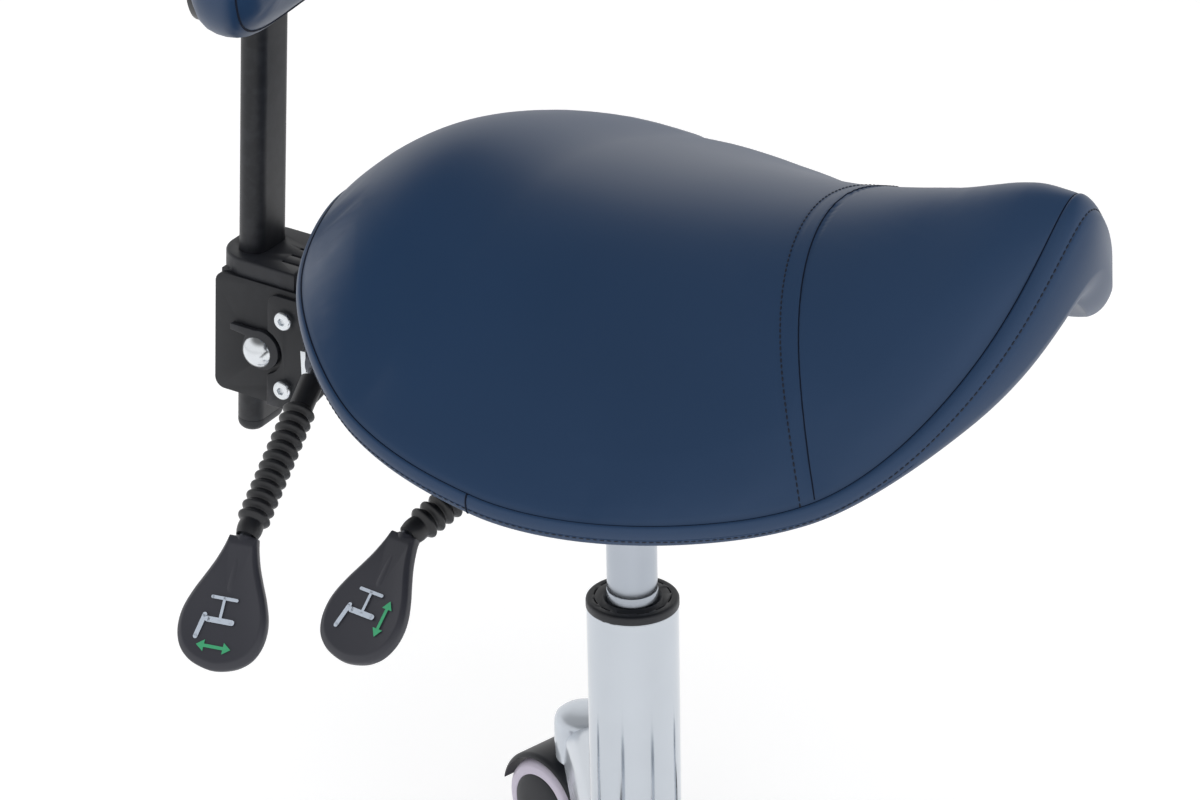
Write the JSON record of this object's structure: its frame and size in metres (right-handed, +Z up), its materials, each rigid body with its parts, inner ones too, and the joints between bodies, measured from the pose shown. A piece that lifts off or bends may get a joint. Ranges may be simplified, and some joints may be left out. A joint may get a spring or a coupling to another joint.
{
  "type": "saddle stool",
  "caption": "Saddle-shaped stool with a gas lift, tilting seat with two hand levers, a height-adjustable lumbar rest and a five-leg base on twin-wheel casters.",
  "frame": {"origin": "on the floor, under the column's axis", "axes": "+Z up, front of the seat towards -Y, the sitter's right towards -X"},
  "size_m": [0.5496, 0.587, 0.8458],
  "materials": {
    "navy_leather": "smooth navy upholstery skin with a soft sheen",
    "foam": "moulded foam",
    "black_metal": "satin black powder coat",
    "black_plastic": "fine matte black plastic",
    "rubber": "black rubber",
    "tyre_grey": "pale grey soft tread",
    "chrome": "bright chrome",
    "satin_steel": "satin steel",
    "zinc": "bright zinc plate"
  },
  "bodies": {
    "base": {"star_base": "chrome", "column_tube": "chrome", "guide_bushing": "black_plastic", "thrust_bearing": "satin_steel", "rubber_buffer": "rubber", "caster_stems": "zinc"},
    "spindle": {"piston_rod": "satin_steel", "retaining_clip": "zinc"},
    "column": {"pressure_cylinder": "satin_steel", "mechanism_housing": "black_metal", "tilt_spring": "satin_steel"},
    "lift_lever": {"lift_lever_rod": "satin_steel", "lift_lever_sleeve": "rubber", "lift_lever_paddle": "black_plastic"},
    "button": {"release_button": "zinc"},
    "seat": {"seat_plate": "black_metal", "tilt_axle": "zinc", "back_arm": "black_metal", "lock_spindle": "zinc", "lock_discs": "satin_steel", "seat_pan": "black_plastic", "seat_bolts": "zinc", "seat_foam": "foam", "seat_cover": "navy_leather", "clamp_bracket": "black_metal", "guide_collar": "black_plastic", "carriage_bolt": "zinc", "bolt_washer": "black_plastic", "side_screws": "zinc"},
    "lock_lever": {"lock_lever_rod": "satin_steel", "lock_lever_sleeve": "rubber", "lock_lever_paddle": "black_plastic"},
    "knob": {"hand_knob": "black_plastic"},
    "back": {"upright_tube": "black_metal", "upright_plugs": "black_plastic", "pad_bracket": "black_metal", "pad_shell": "black_plastic", "pad_foam": "foam", "pad_cover": "navy_leather", "pad_screws": "zinc"},
    "caster_1": {"caster_1_hood": "black_plastic", "caster_1_axle": "zinc"},
    "caster_1_wheelset": {"caster_1_wheels": "black_plastic", "caster_1_tyres": "tyre_grey"},
    "caster_2": {"caster_2_hood": "black_plastic", "caster_2_axle": "zinc"},
    "caster_2_wheelset": {"caster_2_wheels": "black_plastic", "caster_2_tyres": "tyre_grey"},
    "caster_3": {"caster_3_hood": "black_plastic", "caster_3_axle": "zinc"},
    "caster_3_wheelset": {"caster_3_wheels": "black_plastic", "caster_3_tyres": "tyre_grey"},
    "caster_4": {"caster_4_hood": "black_plastic", "caster_4_axle": "zinc"},
    "caster_4_wheelset": {"caster_4_wheels": "black_plastic", "caster_4_tyres": "tyre_grey"},
    "caster_5": {"caster_5_hood": "black_plastic", "caster_5_axle": "zinc"},
    "caster_5_wheelset": {"caster_5_wheels": "black_plastic", "caster_5_tyres": "tyre_grey"}
  },
  "joints": [
    {"name": "seat_swivel", "type": "hinge", "parent": "base", "child": "spindle", "pos_m": [0, 0, 0.1], "axis": [0, 0, 1], "continuous": true},
    {"name": "lift_slide", "type": "slide", "parent": "spindle", "child": "column", "axis": [0, 0, 1], "range_m": [0, 0.14]},
    {"name": "lift_lever_hinge", "type": "hinge", "parent": "column", "child": "lift_lever", "pos_m": [-0.039, 0.018, 0.443], "axis": [0, 1, 0], "range_deg": [0, 6], "stiffness_Nm_per_rad": 3, "springref_deg": -5.73},
    {"name": "button_press", "type": "slide", "parent": "column", "child": "button", "axis": [0, 0, -1], "range_m": [0, 0.0042]},
    {"name": "seat_tilt", "type": "hinge", "parent": "column", "child": "seat", "pos_m": [0, -0.048, 0.466], "axis": [-1, 0, 0], "range_deg": [0, 8], "deforming": ["tilt_spring"]},
    {"name": "lock_lever_hinge", "type": "hinge", "parent": "seat", "child": "lock_lever", "pos_m": [-0.0446, 0.16402, 0.44303], "axis": [0, 1, 0], "range_deg": [0, 18]},
    {"name": "knob_turn", "type": "hinge", "parent": "seat", "child": "knob", "pos_m": [0.03, 0.21612, 0.43054], "axis": [1, 0, 0], "continuous": true},
    {"name": "back_height", "type": "slide", "parent": "seat", "child": "back", "axis": [0, -0.0698, 0.9976], "range_m": [-0.03, 0.06]},
    {"name": "caster_1_swivel", "type": "hinge", "parent": "base", "child": "caster_1", "pos_m": [0.21763, 0.15811, 0.065], "axis": [0, 0, 1], "continuous": true},
    {"name": "caster_1_roll", "type": "hinge", "parent": "caster_1", "child": "caster_1_wheelset", "pos_m": [0.22412, 0.17809, 0.03], "axis": [-0.9511, 0.309, 0], "continuous": true},
    {"name": "caster_2_swivel", "type": "hinge", "parent": "base", "child": "caster_2", "pos_m": [-0.08313, 0.25583, 0.065], "axis": [0, 0, 1], "continuous": true},
    {"name": "caster_2_roll", "type": "hinge", "parent": "caster_2", "child": "caster_2_wheelset", "pos_m": [-0.08496, 0.27675, 0.03], "axis": [-0.9962, -0.0872, 0], "continuous": true},
    {"name": "caster_3_swivel", "type": "hinge", "parent": "base", "child": "caster_3", "pos_m": [-0.269, 0, 0.065], "axis": [0, 0, 1], "continuous": true},
    {"name": "caster_3_roll", "type": "hinge", "parent": "caster_3", "child": "caster_3_wheelset", "pos_m": [-0.25914, 0.01854, 0.03], "axis": [-0.8829, 0.4695, 0], "continuous": true},
    {"name": "caster_4_swivel", "type": "hinge", "parent": "base", "child": "caster_4", "pos_m": [-0.08313, -0.25583, 0.065], "axis": [0, 0, 1], "continuous": true},
    {"name": "caster_4_roll", "type": "hinge", "parent": "caster_4", "child": "caster_4_wheelset", "pos_m": [-0.08093, -0.23495, 0.03], "axis": [-0.9945, 0.1045, 0], "continuous": true},
    {"name": "caster_5_swivel", "type": "hinge", "parent": "base", "child": "caster_5", "pos_m": [0.21763, -0.15811, 0.065], "axis": [0, 0, 1], "continuous": true},
    {"name": "caster_5_roll", "type": "hinge", "parent": "caster_5", "child": "caster_5_wheelset", "pos_m": [0.22481, -0.13838, 0.03], "axis": [-0.9397, 0.342, 0], "continuous": true}
  ],
  "couplings": [
    {"joint": "button_press", "follows": "lift_lever_hinge", "m_per_rad": 0.04}
  ]
}
